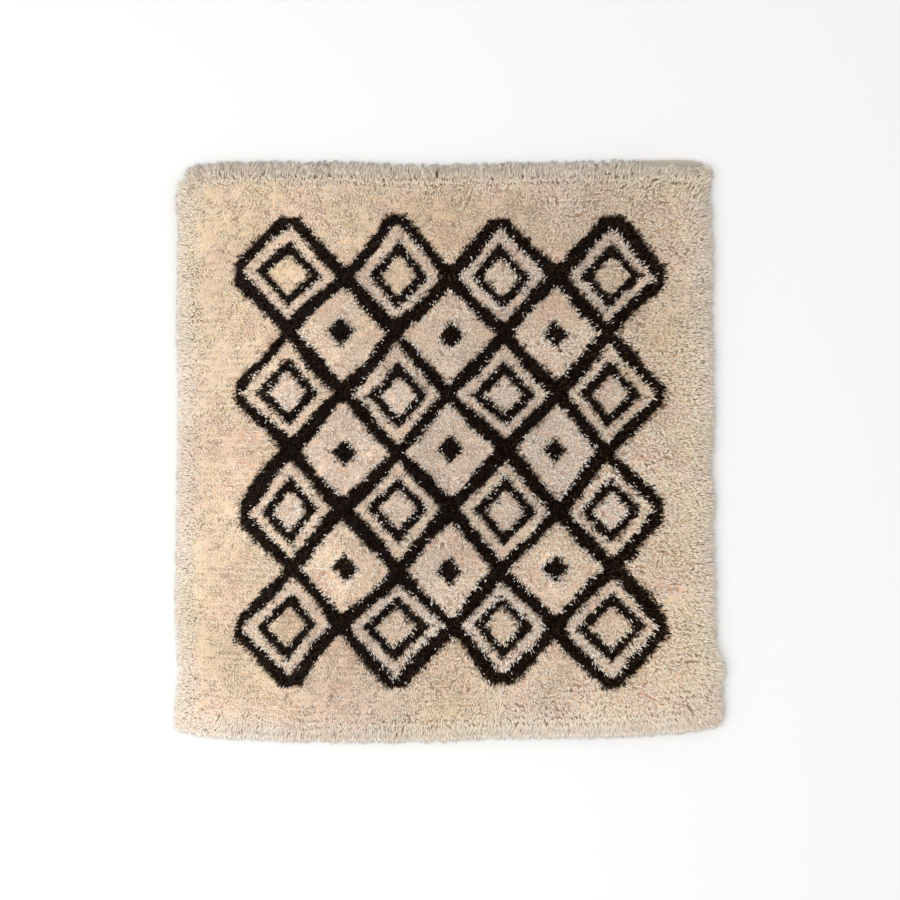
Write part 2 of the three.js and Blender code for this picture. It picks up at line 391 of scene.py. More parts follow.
# The chart. Which yarn each knot is tied with: a traditional lattice of lozenges in dark yarn, with
# smaller lozenges in them, on a cream field. The lines waver and step from knot to knot.
LOZENGE = (0.272, 0.300)
LOZENGES_EACH_WAY = 4
LINE_WIDTH = 0.036
INNER_LOZENGE = (0.175, 0.295)
SMALL_LOZENGE = 0.125
CHART_WAVER = 0.011
CHART_WAVER_PITCH = 0.16
LINE_SWELL = 0.28
LINE_SWELL_PITCH = 0.07
JUST_PAST = 0.01


def lozenge_chart(x, y):
    """For each knot, whether it is dark, and which of the two creams its lozenge has otherwise."""
    x = x + CHART_WAVER * drift(x, y, CHART_WAVER_PITCH, seed=11)
    y = y + CHART_WAVER * drift(x, y, CHART_WAVER_PITCH, seed=12)
    rising = x / LOZENGE[0] + y / LOZENGE[1]
    falling = x / LOZENGE[0] - y / LOZENGE[1]
    line_gap = 1 / math.hypot(1 / LOZENGE[0], 1 / LOZENGE[1])
    furthest = (LOZENGES_EACH_WAY - 1) / 2 + JUST_PAST

    def in_field(rise, fall):
        return (abs(rise + fall) / 2 < furthest) & (abs(rise - fall) / 2 < furthest)

    rise, fall = np.round(rising), np.round(falling)
    p, q = rising - rise, falling - fall
    steep = abs(p) > abs(q)
    across_rise = rise + np.where(steep, np.sign(p), 0)
    across_fall = fall + np.where(steep, 0, np.sign(q))
    out = np.maximum(abs(p), abs(q))
    width = LINE_WIDTH * (1 + LINE_SWELL * drift(x, y, LINE_SWELL_PITCH, seed=13))
    here = in_field(rise, fall)
    line = ((0.5 - out) * line_gap < width / 2) & (here | in_field(across_rise, across_fall))
    large = (rise + fall) % 2 == 1
    inner = here & large & (out > INNER_LOZENGE[0]) & (out < INNER_LOZENGE[1])
    small = here & ~large & (out < SMALL_LOZENGE)
    cool = here & (((rise + 2 * fall) % 3 == 0) ^ (out < INNER_LOZENGE[0]))
    return line | inner | small, cool


knot_dark, knot_cool = lozenge_chart(knot_x, knot_y)

# The lay of the pile. Each knot's ends stand up from the ground, lean out over the rim, fall a little
# towards the near end, and part here and there where the rug has been folded or trodden. The outermost
# ends come to a line 24 mm outside the wall, or to the bare weave where there is one.
LOCK_LENGTH = 0.024
RIM_LEAN = math.radians(77)
RIM_LEAN_REACH = 0.065
LESS_REACH_AT_ENDS = 0.28
FALL_TO_NEAR_END = 0.10
SPREAD_TO_SIDES = 0.95
SPREAD_TO_ENDS = 0.60
RIM_LEAN_FALL = 1.15
CORNER_TURN = 7
WIDE_LAY = 0.40
WIDE_LAY_PITCH = 0.09
CLOSE_LAY = 0.14
CLOSE_LAY_PITCH = 0.035
KNOT_LAY = 0.14
KNOT_LAY_ALONG_SHARE = 0.7
UPRIGHT_AT_BARE = 0.45
BARE_HEM_SHOWN = 0.004
NEVER_ZERO = 1e-9
NEVER_PARALLEL = 1e-12
# Partings that show as dark cracks: where, how long, which way they run, and how far they open
PARTINGS = [
    # x, y, length, turn in degrees, opening
    (0.577, 0.678, 0.060, -8, 0.9),
    (0.528, 0.698, 0.036, 5, 0.8),
    (0.610, -0.533, 0.050, 4, 0.9),
    (0.596, -0.628, 0.055, 38, 0.8),
    (0.470, -0.480, 0.045, 8, 0.7),
    (-0.480, 0.690, 0.030, 62, 0.8),
    (-0.415, 0.672, 0.035, 48, 0.8),
    (-0.560, -0.510, 0.070, 4, 0.7),
    (-0.430, -0.560, 0.040, 80, 0.6),
    (-0.300, -0.620, 0.050, 70, 0.6),
    (0.250, -0.610, 0.040, 55, 0.6),
    (0.050, 0.640, 0.035, 70, 0.6),
    (0.330, 0.600, 0.045, 20, 0.7),
    (-0.600, 0.330, 0.050, 2, 0.6),
    (0.620, 0.120, 0.045, 12, 0.6),
]
SMALL_PARTINGS = 600
SMALL_PARTINGS_WITHIN = (0.67, 0.71)
SMALL_PARTING_TURN = 22
SMALL_PARTING_LENGTH = (0.008, 0.026)
SMALL_PARTING_OPENING = (0.4, 1.0)
PARTING_REACH = 0.008


def outward(x, y):
    """The way out over the rim, turning smoothly round the corners."""
    across = np.sign(x) * (abs(x) / half_across) ** CORNER_TURN
    along = np.sign(y) * (abs(y) / half_along) ** CORNER_TURN
    size = np.hypot(across, along) + NEVER_ZERO
    return across / size, along / size


def spread(x, y):
    """How the pile leans where nothing has stirred it: away from the middle, and to the near end."""
    across = SPREAD_TO_SIDES * x * abs(x) / half_across ** 2
    along = SPREAD_TO_ENDS * y * abs(y) / half_along ** 2 - FALL_TO_NEAR_END
    return across, along


def all_partings():
    """The charted partings and many small ones, which run much the way that the pile leans."""
    spots = list(PARTINGS)
    reach_x, reach_y = SMALL_PARTINGS_WITHIN
    for _ in range(SMALL_PARTINGS):
        x = chance.uniform(-reach_x, reach_x)
        y = chance.uniform(-reach_y, reach_y)
        across, along = spread(x, y)
        turn = math.degrees(math.atan2(along, across)) + chance.normal(0, SMALL_PARTING_TURN)
        length = chance.uniform(*SMALL_PARTING_LENGTH)
        spots.append((x, y, length, turn, chance.uniform(*SMALL_PARTING_OPENING)))
    return spots


partings = all_partings()


def from_parting(x, y, parting):
    """How far along and across a parting each place is, and the way the parting runs."""
    middle_x, middle_y, _, turn, _ = parting
    angle = math.radians(turn)
    along = (x - middle_x) * math.cos(angle) + (y - middle_y) * math.sin(angle)
    across = (y - middle_y) * math.cos(angle) - (x - middle_x) * math.sin(angle)
    return along, across, angle


def knot_lay():
    """How far each knot's ends lean across and along, as slopes from upright."""
    out_x, out_y = outward(knot_x, knot_y)
    reach = RIM_LEAN_REACH * (1 - LESS_REACH_AT_ENDS * abs(out_y))
    lean = RIM_LEAN * np.exp(-((knot_inside / reach) ** RIM_LEAN_FALL))
    lean *= 1 - UPRIGHT_AT_BARE * knot_at_bare
    spread_x, spread_y = spread(knot_x, knot_y)
    lay_x = out_x * np.tan(lean) + spread_x + chance.normal(0, KNOT_LAY, len(knot_x))
    knot_lay_along = KNOT_LAY * KNOT_LAY_ALONG_SHARE
    lay_y = out_y * np.tan(lean) + spread_y + chance.normal(0, knot_lay_along, len(knot_y))
    for lay, wide_seed, close_seed in ((lay_x, 21, 22), (lay_y, 23, 24)):
        lay += WIDE_LAY * drift(knot_x, knot_y, WIDE_LAY_PITCH, wide_seed)
        lay += CLOSE_LAY * drift(knot_x, knot_y, CLOSE_LAY_PITCH, close_seed)
    return lay_x, lay_y


knot_lay_x, knot_lay_y = knot_lay()
tips_line = in_order(np.vstack([
    pile_wall / (1 - LOCK_LENGTH / np.array([half_across, half_along])), bare_hem - (0, BARE_HEM_SHOWN)
]))


def room_ahead(x, y, heading):
    """How far it is from each place, along its heading, to the line that the outermost tips come to."""
    ahead_x, ahead_y = np.cos(heading), np.sin(heading)
    room = np.full(len(x), np.inf)
    for (sx, sy), (rx, ry) in zip(tips_line, np.roll(tips_line, -1, axis=0) - tips_line):
        crossing = ahead_x * ry - ahead_y * rx + NEVER_PARALLEL
        distance = ((sx - x) * ry - (sy - y) * rx) / crossing
        share = ((sx - x) * ahead_y - (sy - y) * ahead_x) / crossing
        met = (distance > 0) & (share >= 0) & (share <= 1)
        room = np.where(met, np.minimum(room, distance), room)
    return room


# The packed pile. Low down the yarn stands so close that it is one springy mass, and light hardly enters
# it. It is built as a lumpy body with the rows of knots and the partings in it, and its felted skirt lies
# out over the edge of the ground. The single ends stand out of it, so it has the colours of their yarn.
BODY_HEIGHT = 0.0344
BODY_HIGHER_AT_LEFT = 0.0042
BODY_LOWER_AT_ENDS = 0.0025
BODY_LOWER_IN_MIDDLE = 0.0045
MIDDLE_REACH = 0.52
BODY_FOOT = 0.0145
BODY_FOOT_AT_FAR_END = 0.004
BODY_FOOT_HIGHER_AT_LEFT = 0.008
BODY_RISE_REACH = 0.050
BODY_LUMPS = 0.0022
BODY_STEP = 0.0078
ROW_GROOVE = 0.0020
HOLLOW_DEPTH = 0.009
HOLLOW_PITCH = 0.0085
HOLLOW_FROM = 0.35
FEWEST_HOLLOWS = 0.35
HOLLOWS_FROM_LEFT = 0.20
DEEPER_AT_FAR_END = 0.45
PARTING_DEPTH = 0.013
PARTING_WIDTH = 0.0045
PARTING_END_SHARPNESS = 4
SHOULDER_ROUNDNESS = 0.8
LUMPS_PITCH = 0.03
SKIRT = 0.0118
SKIRT_RAGGED = 0.0022
SKIRT_FALL = 0.84
SKIRT_CURVE = 1.3
SKIRT_RAGGED_AT_KNOTS = 0.3
SKIRT_AT_BARE = 0.03
BARE_MARGIN = 0.004
# Painted shade on the packed pile, which lies deep among the ends, and more on its skirt at the far end
# under the locks
BODY_PAINTED_SHADE = 0.94
FAR_SKIRT_PAINTED_SHADE = 0.55
FAR_SKIRT_REACH = 0.03
FAR_ROWS = 0.09
FAR_ROWS_FADE = 0.03
# How deep in the pile the body is taken to be, for its painted shade deep in the pile; the side skirts get
# less of it
BODY_ALONG = 0.15
SIDE_SKIRT_ALONG = 0.50
SIDE_SKIRT_REACH = 0.035
# Below this height the foot shows under the locks, and is shaded but for the left side
FOOT_HEIGHT = 0.006
FOOT_SHADE = 0.38


def at_far_end(y):
    """From 0 to 1 over the last rows at the far end."""
    return np.clip((y - half_along + FAR_ROWS) / FAR_ROWS_FADE, 0, 1)


def in_middle(x, y):
    """From 1 in the middle of the rug, where the figure is and the pile is least felted, to 0."""
    return np.exp(-((np.hypot(x, y) / MIDDLE_REACH) ** 6))


def body_height(x, y, inside):
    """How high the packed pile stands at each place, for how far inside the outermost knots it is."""
    rise = np.clip(inside / BODY_RISE_REACH, 0, 1)
    foot = BODY_FOOT + (BODY_FOOT_AT_FAR_END - BODY_FOOT) * at_far_end(y)
    foot += BODY_FOOT_HIGHER_AT_LEFT * (-x / half_across).clip(0, 1) ** 6
    full = BODY_HEIGHT - BODY_HIGHER_AT_LEFT * x / half_across - BODY_LOWER_AT_ENDS * (y / half_along) ** 4
    full -= BODY_LOWER_IN_MIDDLE * in_middle(x, y)
    return foot + (full - foot) * np.sin(rise * math.pi / 2) ** SHOULDER_ROUNDNESS


def hollow(x, y):
    """How deep the small hollows between tufts are: least at the felted left, most at the far end."""
    deep = np.clip((drift(x, y, HOLLOW_PITCH, seed=61) - HOLLOW_FROM) / (1 - HOLLOW_FROM), 0, 1)
    deep *= 1 + DEEPER_AT_FAR_END * (y / half_along).clip(0, 1) ** 2
    return deep * np.clip((x + half_across) / HOLLOWS_FROM_LEFT, FEWEST_HOLLOWS, 1)


def with_skirt(size):
    """Shares of the way across the rug in even steps, and on to the edge of the skirt on both sides."""
    beyond = SKIRT / size
    return np.linspace(-beyond, 1 + beyond, round(size / BODY_STEP) + 1)


def packed_pile_mesh():
    u, v = np.meshgrid(with_skirt(2 * half_across), with_skirt(2 * half_along))
    x, y = between_sides(u, v)
    wall_x, wall_y = between_sides(u.clip(0, 1), v.clip(0, 1))
    at_bare = (x > bare_from - BARE_MARGIN) & (x < bare_to + BARE_MARGIN) & (v > 1)
    y = np.where(at_bare, wall_y + SKIRT_AT_BARE * (y - wall_y), y)
    out = np.hypot(x - wall_x, y - wall_y)
    ragged = SKIRT_RAGGED * (SKIRT_RAGGED_AT_KNOTS + out / SKIRT)
    x = x + chance.normal(0, 1, x.shape) * ragged
    y = y + chance.normal(0, 1, x.shape) * np.where(at_bare, 0, ragged)
    inside = np.where(out > 0, 0, (inside_wall(x, y) - FIRST_KNOT_INSIDE).clip(0))
    settled = np.clip(inside / BODY_RISE_REACH, 0, 1)
    lumps = chance.normal(0, BODY_LUMPS, x.shape) + BODY_LUMPS * drift(x, y, LUMPS_PITCH, seed=51)
    fall = SKIRT_FALL * (out / SKIRT).clip(0, 1) ** SKIRT_CURVE
    z = body_height(x, y, inside) * (1 - fall) + lumps * settled
    z -= ROW_GROOVE * np.cos(2 * math.pi * v * 2 * half_along / ROW_PITCH) * settled
    z -= HOLLOW_DEPTH * hollow(x, y) * settled
    sunk = np.zeros(x.shape)
    for parting in partings:
        along, across, _ = from_parting(x, y, parting)
        length, opening = parting[2], parting[4]
        past_end = (2 * along / length) ** PARTING_END_SHARPNESS
        deep = np.exp(-past_end - (across / PARTING_WIDTH) ** 2)
        sunk = np.maximum(sunk, opening * deep)
    z -= PARTING_DEPTH * sunk * settled
    at = np.arange(x.size).reshape(x.shape)
    quads = np.stack([at[:-1, :-1], at[:-1, 1:], at[1:, 1:], at[1:, :-1]], -1).reshape(-1, 4)
    edge = np.concatenate([at[0, :-1], at[:-1, -1], at[-1, :0:-1], at[:0:-1, 0]])
    foot = x.size + np.arange(len(edge))
    side = np.column_stack([np.roll(edge, -1), edge, foot, np.roll(foot, -1)])
    under = np.column_stack([np.roll(foot, -1), foot, np.full(len(edge), x.size + len(edge))])
    low = np.column_stack([x.ravel()[edge], y.ravel()[edge], np.full(len(edge), GROUND_THICKNESS / 2)])
    points = np.vstack([np.column_stack([x.ravel(), y.ravel(), z.ravel()]), low, [[0, 0, low[0, 2]]]])
    return points, [quads, side, under]


# The creams of the undyed yarn, from cool to warm
CREAM_STEPS = [
    (0.0, (0.875, 0.786, 0.705)),
    (0.35, (0.940, 0.816, 0.680)),
    (0.65, (0.955, 0.816, 0.636)),
    (1.0, (0.960, 0.802, 0.577)),
]
ROSE = (0.955, 0.750, 0.645)
# Painted shade over the last rows at the far end, and how far in it reaches
FAR_END_PAINTED_SHADE = 0.11
FAR_END_REACH = 0.17
# The usual cream, and how the greyer of the two creams and the yarn in the middle differ from it
USUAL_CREAM = (0.58, 1.0, 0.22)
COOL_CREAM = (-0.36, 0.03, 0)
MIDDLE_CREAM = (-0.38, 0.16, -0.15)
# Drifts of tone over the whole rug
TONE_DRIFTS = [
    # pitch, seed, warmth, lightness, rose
    (0.160, 41, 0.14, 0, 0),
    (0.050, 42, 0.10, 0, 0),
    (0.130, 43, 0, 0.05, 0),
    (0.030, 44, 0, 0.04, 0),
    (0.055, 45, 0, 0, 0.45),
    (0.024, 46, 0, 0, 0.35),
]
MOST_ROSY = 0.8
# Clouds of tone: where, how far they reach, and how much warmer and lighter the yarn is there
CLOUDS = [
    # x, y, reach, warmth, lightness
    (-0.520, -0.690, 0.090, -0.30, 0.06),
    (-0.620, -0.450, 0.200, 0.06, -0.14),
    (-0.450, 0.520, 0.160, 0.14, -0.04),
    (0.380, 0.520, 0.150, -0.22, -0.02),
    (0.560, 0.330, 0.120, 0.12, -0.09),
    (0.250, -0.590, 0.170, -0.25, 0.0),
    (-0.250, -0.600, 0.160, -0.17, -0.15),
    (0.020, -0.660, 0.150, 0.05, -0.07),
    (0.560, -0.330, 0.180, 0.20, 0.03),
    (0.100, 0.660, 0.200, 0.02, -0.02),
    (-0.620, 0.050, 0.200, 0.08, -0.10),
    (0.640, 0.000, 0.150, 0.05, -0.04),
    (-0.640, 0.390, 0.150, 0.00, -0.08),
    (0.300, -0.660, 0.180, -0.06, 0.06),
    (0.620, -0.550, 0.200, 0.00, 0.045),
]


def cream(material):
    colour = colour_steps(material, painted(material, "warmth"), CREAM_STEPS)
    return blended(material, painted(material, "rosy"), colour, ROSE)


def cream_shade(x, y, cool):
    """How warm, how light and how rosy the cream yarn is at each place, with painted shade at the far end.
    """
    middle = in_middle(x, y)
    tones = [
        usual + cooler * cool + inner * middle
        for usual, cooler, inner in zip(USUAL_CREAM, COOL_CREAM, MIDDLE_CREAM)
    ]
    for pitch, seed, *changes in TONE_DRIFTS:
        swell = drift(x, y, pitch, seed)
        tones = [tone + change * swell for tone, change in zip(tones, changes)]
    warmth, lightness, rosy = tones
    # Painted shade towards the far end
    lightness -= FAR_END_PAINTED_SHADE * np.clip(1 - (half_along - y) / FAR_END_REACH, 0, 1)
    for cloud_x, cloud_y, reach, warmer, lighter in CLOUDS:
        near = np.exp(-((x - cloud_x) ** 2 + (y - cloud_y) ** 2) / reach ** 2)
        warmth += warmer * near
        lightness += lighter * near
    return {"warmth": warmth, "lightness": lightness, "rosy": rosy.clip(0, MOST_ROSY)}


# The dark yarn, near black, with a few ends that are browner, greener or more purple
DARK_STEPS = [
    (0.0, (0.007, 0.002, 0.0005)),
    (0.62, (0.015, 0.006, 0.002)),
    (0.76, (0.086, 0.047, 0.022)),
    (0.88, (0.052, 0.040, 0.018)),
    (1.0, (0.062, 0.033, 0.030)),
]


def dark_brown(material):
    return colour_steps(material, painted(material, "warmth"), DARK_STEPS)


# Painted shade deep in the pile: the yarn is darkened towards its root, to this colour at the root
SHADE_DEEP_IN_PILE = (0.72, 0.61, 0.50)
OUT_OF_DEPTH = 0.6
WOOL_ROUGHNESS = 0.95
GLOW_COLOUR = (1.0, 0.9, 0.8)
GLOW_REACH = 0.002
FIBRES_SCALE = 900
FIBRES_DETAIL = 4
FIBRE_TONES = (0.90, 1.10)
FIBRE_RELIEF = (0.0004, 0.6)


def wool(name, colour_of, fuzz, glow, shine=WOOL_SHINE):
    """Wool yarn: its colour from colour_of, with painted shade deep in the pile, fine fibres and some fuzz.
    Light passes through its outer fibres by the share glow."""
    material, shader = new_material(name, roughness=WOOL_ROUGHNESS)
    shader.inputs["Specular IOR Level"].default_value = shine
    shader.inputs["Sheen Weight"].default_value = fuzz
    shader.inputs["Subsurface Weight"].default_value = glow
    shader.inputs["Subsurface Radius"].default_value = GLOW_COLOUR
    shader.inputs["Subsurface Scale"].default_value = GLOW_REACH
    place = node(material, "ShaderNodeTexCoord")
    fibres = node(material, "ShaderNodeTexNoise")
    fibres.inputs["Scale"].default_value = FIBRES_SCALE
    fibres.inputs["Detail"].default_value = FIBRES_DETAIL
    link(material, place.outputs["Object"], fibres.inputs["Vector"])
    steps = [(0.0, SHADE_DEEP_IN_PILE), (OUT_OF_DEPTH, (1, 1, 1))]
    depth = colour_steps(material, painted(material, "along"), steps)
    grain = node(material, "ShaderNodeMapRange")
    grain.inputs["To Min"].default_value, grain.inputs["To Max"].default_value = FIBRE_TONES
    link(material, fibres.outputs["Fac"], grain.inputs["Value"])
    total = node(material, "ShaderNodeMath", operation="MULTIPLY")
    link(material, painted(material, "lightness"), total.inputs[0])
    link(material, grain.outputs["Result"], total.inputs[1])
    shaded = colour_of(material)
    for shade in (depth, total.outputs["Value"]):
        product = node(material, "ShaderNodeMix", data_type="RGBA", blend_type="MULTIPLY")
        product.inputs["Factor"].default_value = 1
        link(material, shaded, product.inputs["A"])
        link(material, shade, product.inputs["B"])
        shaded = product.outputs["Result"]
    link(material, shaded, shader.inputs["Base Color"])
    add_relief(material, shader, fibres.outputs["Fac"], FIBRE_RELIEF)
    return material


def body_colour(material):
    return blended(material, painted(material, "dark"), cream(material), DARK_STEPS[0][1])


packed_pile = mesh_piece("packed_pile", *packed_pile_mesh())


def shade_packed_pile():
    points = np.empty(3 * len(packed_pile.data.vertices))
    packed_pile.data.vertices.foreach_get("co", points)
    x, y, z = points.reshape(-1, 3).T
    dark, cool = lozenge_chart(x, y)
    shade = cream_shade(x, y, cool)
    paint(packed_pile, "dark", dark)
    paint(packed_pile, "warmth", shade["warmth"].clip(0, 1))
    paint(packed_pile, "rosy", shade["rosy"])
    # Painted shade over the whole body, on the far skirt under the locks, and on the foot but for the left
    # side
    at_edge = at_far_end(y) * np.exp(-((inside_wall(x, y) / FAR_SKIRT_REACH) ** 2))
    at_foot = (z < FOOT_HEIGHT) * (1 - (-outward(x, y)[0]).clip(0, 1))
    light = BODY_PAINTED_SHADE * (1 - FAR_SKIRT_PAINTED_SHADE * at_edge) * (1 - FOOT_SHADE * at_foot)
    paint(packed_pile, "lightness", shade["lightness"] * light)
    at_side = abs(outward(x, y)[0]) * np.exp(-((inside_wall(x, y) / SIDE_SKIRT_REACH) ** 2))
    paint(packed_pile, "along", BODY_ALONG + (SIDE_SKIRT_ALONG - BODY_ALONG) * at_side)


shade_packed_pile()
packed_pile.data.materials.append(wool("packed_wool", body_colour, fuzz=0.1, glow=0.5))
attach(packed_pile, "root")

# The yarn ends. Each knot ends in a tuft of single ends of wool that untwist and swell a little above the
# packed pile, cut about 44 mm above the floor. Every end is its own thin form, tapering both ways from a
# belly.
END_LENGTH = 0.0440
END_RADIUS = 0.00122
ROOT_DEPTH = 0.004
KNOT_SPREAD = (0.0052, 0.0042)
SPREAD_AT_SIDES = 0.0028
ROOTS_INWARD = (-0.15, 0.85)
END_LAY = (0.16, 0.15)
HEADING_DRIFT = 0.15
LEAN_DRIFT = 0.10
CALM_AT_LEFT = 0.7
CORNER_FAN = 0.9
LOWEST_END = 0.0012
GATHERED = (0.25, 0.50, 0.75)
GATHERED_REACH = 0.028
HOLLOW_SHORTER = 0.55
LOCK_FAN = 0.20
LOCK_TURN = -0.55
LOCK_TURN_DRIFT = 0.50
LOCK_REACH = (0.97, 1.19)
END_REACH = (0.84, 1.0)
RIM_REACH = 0.045
TRIANGLES_IN_PIECE = 196000
LOCK_TURN_PITCH = 0.12
WIDEST_SPREAD = 2.2
FAN_OF_KNOT = 0.4
SWELL = 0.05
SWELL_PITCH = 0.11
UNEVEN = 0.07
LENGTH_LIMITS = (0.75, 1.18)
RADIUS_LIMITS = (0.75, 1.25)
CORNER_NEARNESS = 9
FLATTEST = 0.05
LONGEST_WHEN_FLAT = 6
SHORTEST_SHARE = 0.1
CELL_MARGIN = 0.06
# Stages up an end: its share of the length, how much of the lean it has there, and its thickness
FIELD_STAGES = [(0.0, 0.82, 0.0), (0.66, 1.2, 1.3), (1.0, 1.2, 0.0)]
RIM_STAGES = [(0.0, 0.98, 0.0), (0.44, 1.30, 1.25), (1.0, 1.30, 0.0)]


# Round the rim the ends of a knot come together in a lock, most of all along the far end, and each lock
# has its own turn and its own reach.
at_sides, at_near_end, along_far_end = GATHERED
knot_gathered = at_sides + (at_near_end - at_sides) * (-outward(knot_x, knot_y)[1]).clip(0, 1)
knot_gathered += (along_far_end - at_sides) * at_far_end(knot_y)
knot_gathered *= np.exp(-((knot_inside / GATHERED_REACH) ** 2))
knot_at_side = abs(outward(knot_x, knot_y)[0]) * np.exp(-((knot_inside / GATHERED_REACH) ** 2))
lock_turn = chance.normal(0, LOCK_FAN, len(knot_x))
turn_drift = LOCK_TURN_DRIFT * drift(knot_x, knot_y, LOCK_TURN_PITCH, seed=25)
lock_turn += at_far_end(knot_y) * (LOCK_TURN + turn_drift)
lock_reach = chance.uniform(*LOCK_REACH, len(knot_x))


def parted(x, y):
    """How far ends rooted at each place lean away from the partings beside them."""
    lean_x, lean_y = np.zeros(len(x)), np.zeros(len(x))
    for parting in partings:
        middle_x, middle_y, length, _, opening = parting
        reach = length / 2 + 2 * PARTING_REACH
        near = np.flatnonzero((abs(x - middle_x) < reach) & (abs(y - middle_y) < reach))
        along, across, angle = from_parting(x[near], y[near], parting)
        past_end = (2 * along / length) ** PARTING_END_SHARPNESS
        push = opening * np.exp(-past_end - (across / PARTING_REACH) ** 2)
        push *= np.sign(across)
        lean_x[near] -= push * math.sin(angle)
        lean_y[near] += push * math.cos(angle)
    return lean_x, lean_y


def ends_of(knots, ends, longest=1.0):
    """The single ends of these knots: where they are rooted, how they lean, and their sizes."""
    knot = np.repeat(knots, ends)
    count = len(knot)
    gathered = knot_gathered[knot]
    side, front = chance.normal(0, 1, (2, count)).clip(-WIDEST_SPREAD, WIDEST_SPREAD)
    _, out_y = outward(knot_x[knot], knot_y[knot])
    inward = gathered * abs(out_y) * chance.uniform(*ROOTS_INWARD, count) * ROW_PITCH
    root_x = knot_x[knot] + KNOT_SPREAD[0] * side
    spread_out = KNOT_SPREAD[1] + SPREAD_AT_SIDES * knot_at_side[knot]
    root_y = knot_y[knot] + spread_out * front - np.sign(knot_y[knot]) * inward
    root_z = body_height(root_x, root_y, knot_inside[knot] + inward) - ROOT_DEPTH
    root = np.column_stack([root_x, root_y, root_z.clip(GROUND_THICKNESS / 2)])
    parted_x, parted_y = parted(root[:, 0], root[:, 1])
    stir = 1 - CALM_AT_LEFT * (-outward(root[:, 0], root[:, 1])[0]).clip(0, 1) * knot_at_side[knot]
    loose_x = FAN_OF_KNOT * side + chance.normal(0, 1, count)
    loose_y = FAN_OF_KNOT * front + chance.normal(0, 1, count)
    lay_x = knot_lay_x[knot] + parted_x + END_LAY[0] * stir * loose_x
    lay_y = knot_lay_y[knot] + parted_y + END_LAY[1] * stir * loose_y
    swell = 1 + SWELL * drift(root[:, 0], root[:, 1], SWELL_PITCH, seed=31)
    length = (END_LENGTH - root[:, 2]) * swell * chance.normal(1, UNEVEN, count).clip(*LENGTH_LIMITS)
    length *= 1 - HOLLOW_SHORTER * hollow(root[:, 0], root[:, 1]) * (knot_inside[knot] > RIM_REACH)
    at_corner = (abs(root[:, 0] / half_across) * abs(root[:, 1] / half_along)) ** CORNER_NEARNESS
    heading = np.arctan2(lay_y, lay_x)
    from_knot_x, from_knot_y = root[:, 0] - knot_x[knot], root[:, 1] - knot_y[knot]
    aside = from_knot_y * np.cos(heading) - from_knot_x * np.sin(heading)
    heading += gathered * (lock_turn[knot] - np.arctan2(aside, LOCK_LENGTH))
    heading += chance.normal(0, 1, count) * (HEADING_DRIFT * stir * (1 - gathered) + CORNER_FAN * at_corner)
    lean = np.arctan(np.hypot(lay_x, lay_y)) + LEAN_DRIFT * stir * chance.normal(0, 1, count)
    near_rim = np.flatnonzero(knot_inside[knot] < RIM_REACH)
    room = room_ahead(root[near_rim, 0], root[near_rim, 1], heading[near_rim])
    flat = np.sin(lean[near_rim]).clip(FLATTEST)
    room *= lock_reach[knot[near_rim]] * chance.uniform(*END_REACH, len(room))
    most = 1 + (longest - 1) * flat ** LONGEST_WHEN_FLAT
    length[near_rim] *= np.clip(room / (length[near_rim] * flat), SHORTEST_SHARE, most)
    return {
        "knot": knot,
        "root": root,
        "heading": heading,
        "lean": lean,
        "length": length,
        "radius": END_RADIUS * chance.uniform(*RADIUS_LIMITS, count),
        "roll": chance.uniform(0, 2 * math.pi, count),
    }


def end_parts(stages):
    """The faces of one end: for each, its corners as point numbers and as places on its own cell."""
    first_of = [0] + [1 + 3 * stage for stage in range(len(stages) - 1)]
    parts = []
    for low in range(len(stages) - 1):
        high = low + 1
        for side in range(3):
            after = (side + 1) % 3
            left, right, middle = side / 3, (side + 1) / 3, (side + 0.5) / 3
            low_place, high_place = stages[low][0], stages[high][0]
            under = [(first_of[low] + side, left, low_place), (first_of[low] + after, right, low_place)]
            over = [(first_of[high] + after, right, high_place), (first_of[high] + side, left, high_place)]
            if stages[low][2] == 0:
                under = [(first_of[low], middle, low_place)]
            if stages[high][2] == 0:
                over = [(first_of[high], middle, high_place)]
            parts.append(under + over)
    return parts


def pile_mesh(name, ends, stages):
    """Three-sided ends: one point at the root and the tip, and a ring of three at each stage between."""
    count = len(ends["root"])
    heading, roll = ends["heading"], ends["roll"]
    beside = np.column_stack([-np.sin(heading), np.cos(heading), np.zeros(count)])
    centre = ends["root"].copy()
    rings, along = [], []
    for stage, (share, lean_share, thickness) in enumerate(stages):
        lean = ends["lean"] * lean_share + ends.get("droop", 0) * share
        ahead = np.column_stack([
            np.sin(lean) * np.cos(heading), np.sin(lean) * np.sin(heading), np.cos(lean)
        ])
        above = np.cross(ahead, beside)
        for corner in range(3 if thickness else 1):
            angle = roll + corner * 2 * math.pi / 3
            around = beside * np.cos(angle)[:, None] + above * np.sin(angle)[:, None]
            rings.append(centre + around * (ends["radius"] * thickness)[:, None])
            along.append(share)
        if stage < len(stages) - 1:
            step = (stages[stage + 1][0] - share) * ends["length"]
            centre = centre + ahead * step[:, None]
            centre[:, 2] = np.maximum(centre[:, 2], LOWEST_END + ends["radius"])
    points = np.stack(rings, axis=1)
    points[:, 1:, 2] = np.maximum(points[:, 1:, 2], LOWEST_END)
    first = (np.arange(count) * len(along))[:, None]
    parts = end_parts(stages)
    faces = [first + [number for number, _, _ in part] for part in parts]
    piece = mesh_piece(name, points.reshape(-1, 3), faces)
    # A pale root takes away some of the painted shade deep in the pile
    pale = ends.get("pale_root", np.zeros(count))[:, None]
    paint(piece, "along", (pale + (1 - pale) * np.array(along)).ravel())
    for shade in ("warmth", "lightness", "rosy"):
        paint(piece, shade, np.repeat(ends[shade], len(along)))
    lay_out_ends(piece, count, parts)
    return piece


